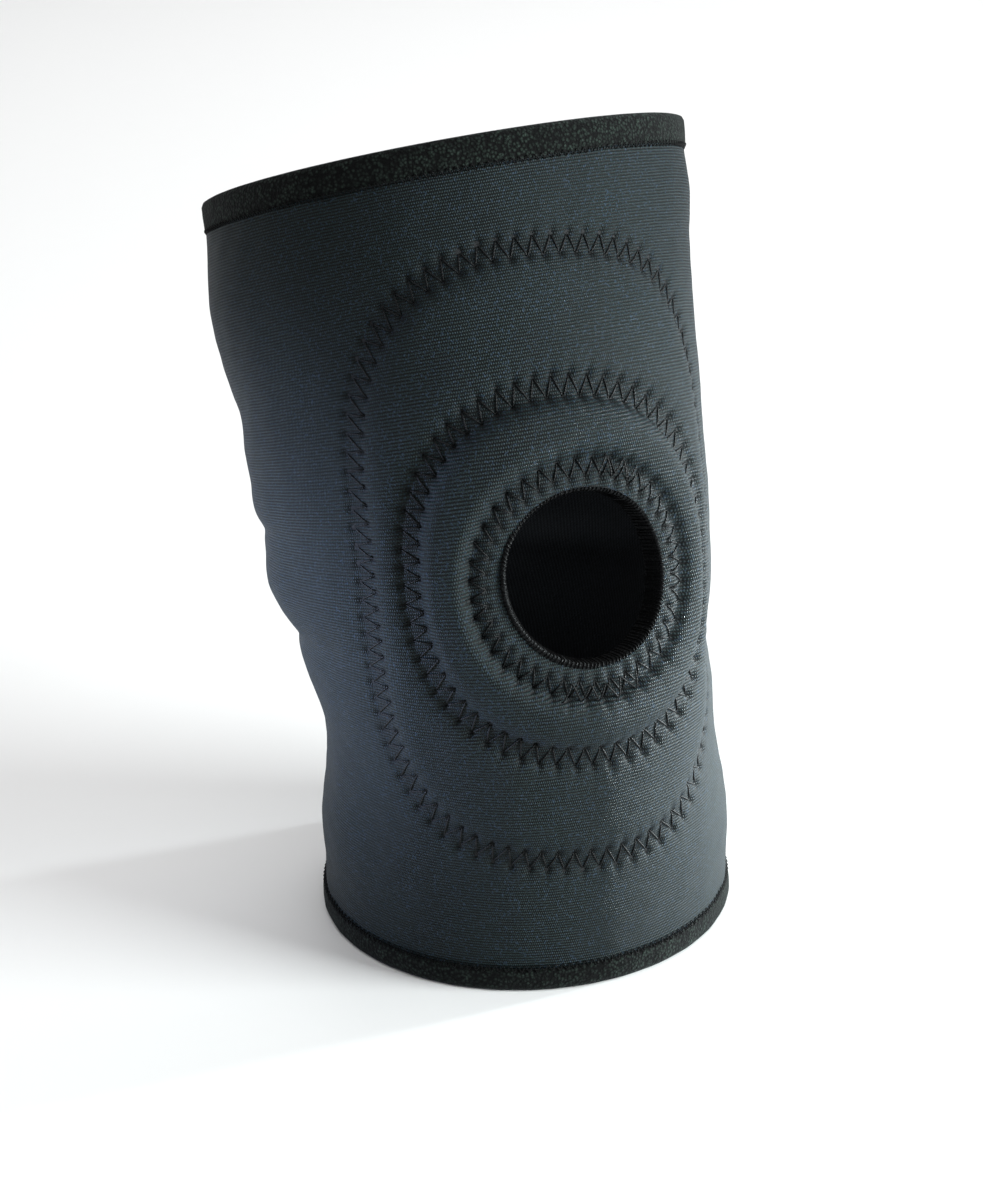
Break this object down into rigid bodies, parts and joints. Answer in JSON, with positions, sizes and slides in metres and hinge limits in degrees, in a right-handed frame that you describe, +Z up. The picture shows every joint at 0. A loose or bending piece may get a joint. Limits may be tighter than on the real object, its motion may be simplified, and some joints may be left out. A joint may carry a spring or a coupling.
{
  "type": "knee brace",
  "caption": "Pull-on neoprene knee sleeve with an open kneecap ringed by a raised buttress and an oval pad, zigzag stitched, with bound hems.",
  "frame": {"origin": "on the plane of the calf hem, under the middle of the brace's bounding box", "axes": "+Z up the leg from calf to thigh, -Y out of the kneecap side, +X to the viewer's right when the kneecap is looked at"},
  "size_m": [0.152, 0.1854, 0.2595],
  "materials": {
    "face_knit": "fine warp-knit nylon in dark slate, soft satin sheen",
    "lining_knit": "brushed black nylon jersey",
    "neoprene": "matte black closed-cell neoprene foam",
    "pad_foam": "matte dark grey closed-cell foam",
    "binding_knit": "matte ribbed black knit binding tape",
    "thread": "black bonded nylon thread with a slight shine"
  },
  "bodies": {
    "calf": {"sleeve_foam_calf": "neoprene", "calf_binding": "binding_knit", "calf_hem_stitch": "thread", "sleeve_foam_knee": "neoprene", "sleeve_face": "face_knit", "sleeve_lining": "lining_knit", "outer_pad": "pad_foam", "buttress_pad": "pad_foam", "opening_binding": "binding_knit", "outer_zigzag": "thread", "middle_zigzag": "thread", "inner_zigzag": "thread", "back_seam_zigzag": "thread"},
    "thigh": {"sleeve_foam_thigh": "neoprene", "thigh_binding": "binding_knit", "thigh_hem_stitch": "thread"}
  },
  "joints": [
    {"name": "knee_flex", "type": "hinge", "parent": "calf", "child": "thigh", "pos_m": [-0.00479, -0.01665, 0.12002], "axis": [-1, 0, 0], "range_deg": [-22, 60], "stiffness_Nm_per_rad": 1.2, "deforming": ["sleeve_face", "sleeve_lining", "sleeve_foam_knee", "outer_pad", "buttress_pad", "opening_binding", "outer_zigzag", "middle_zigzag", "inner_zigzag", "back_seam_zigzag"]}
  ]
}
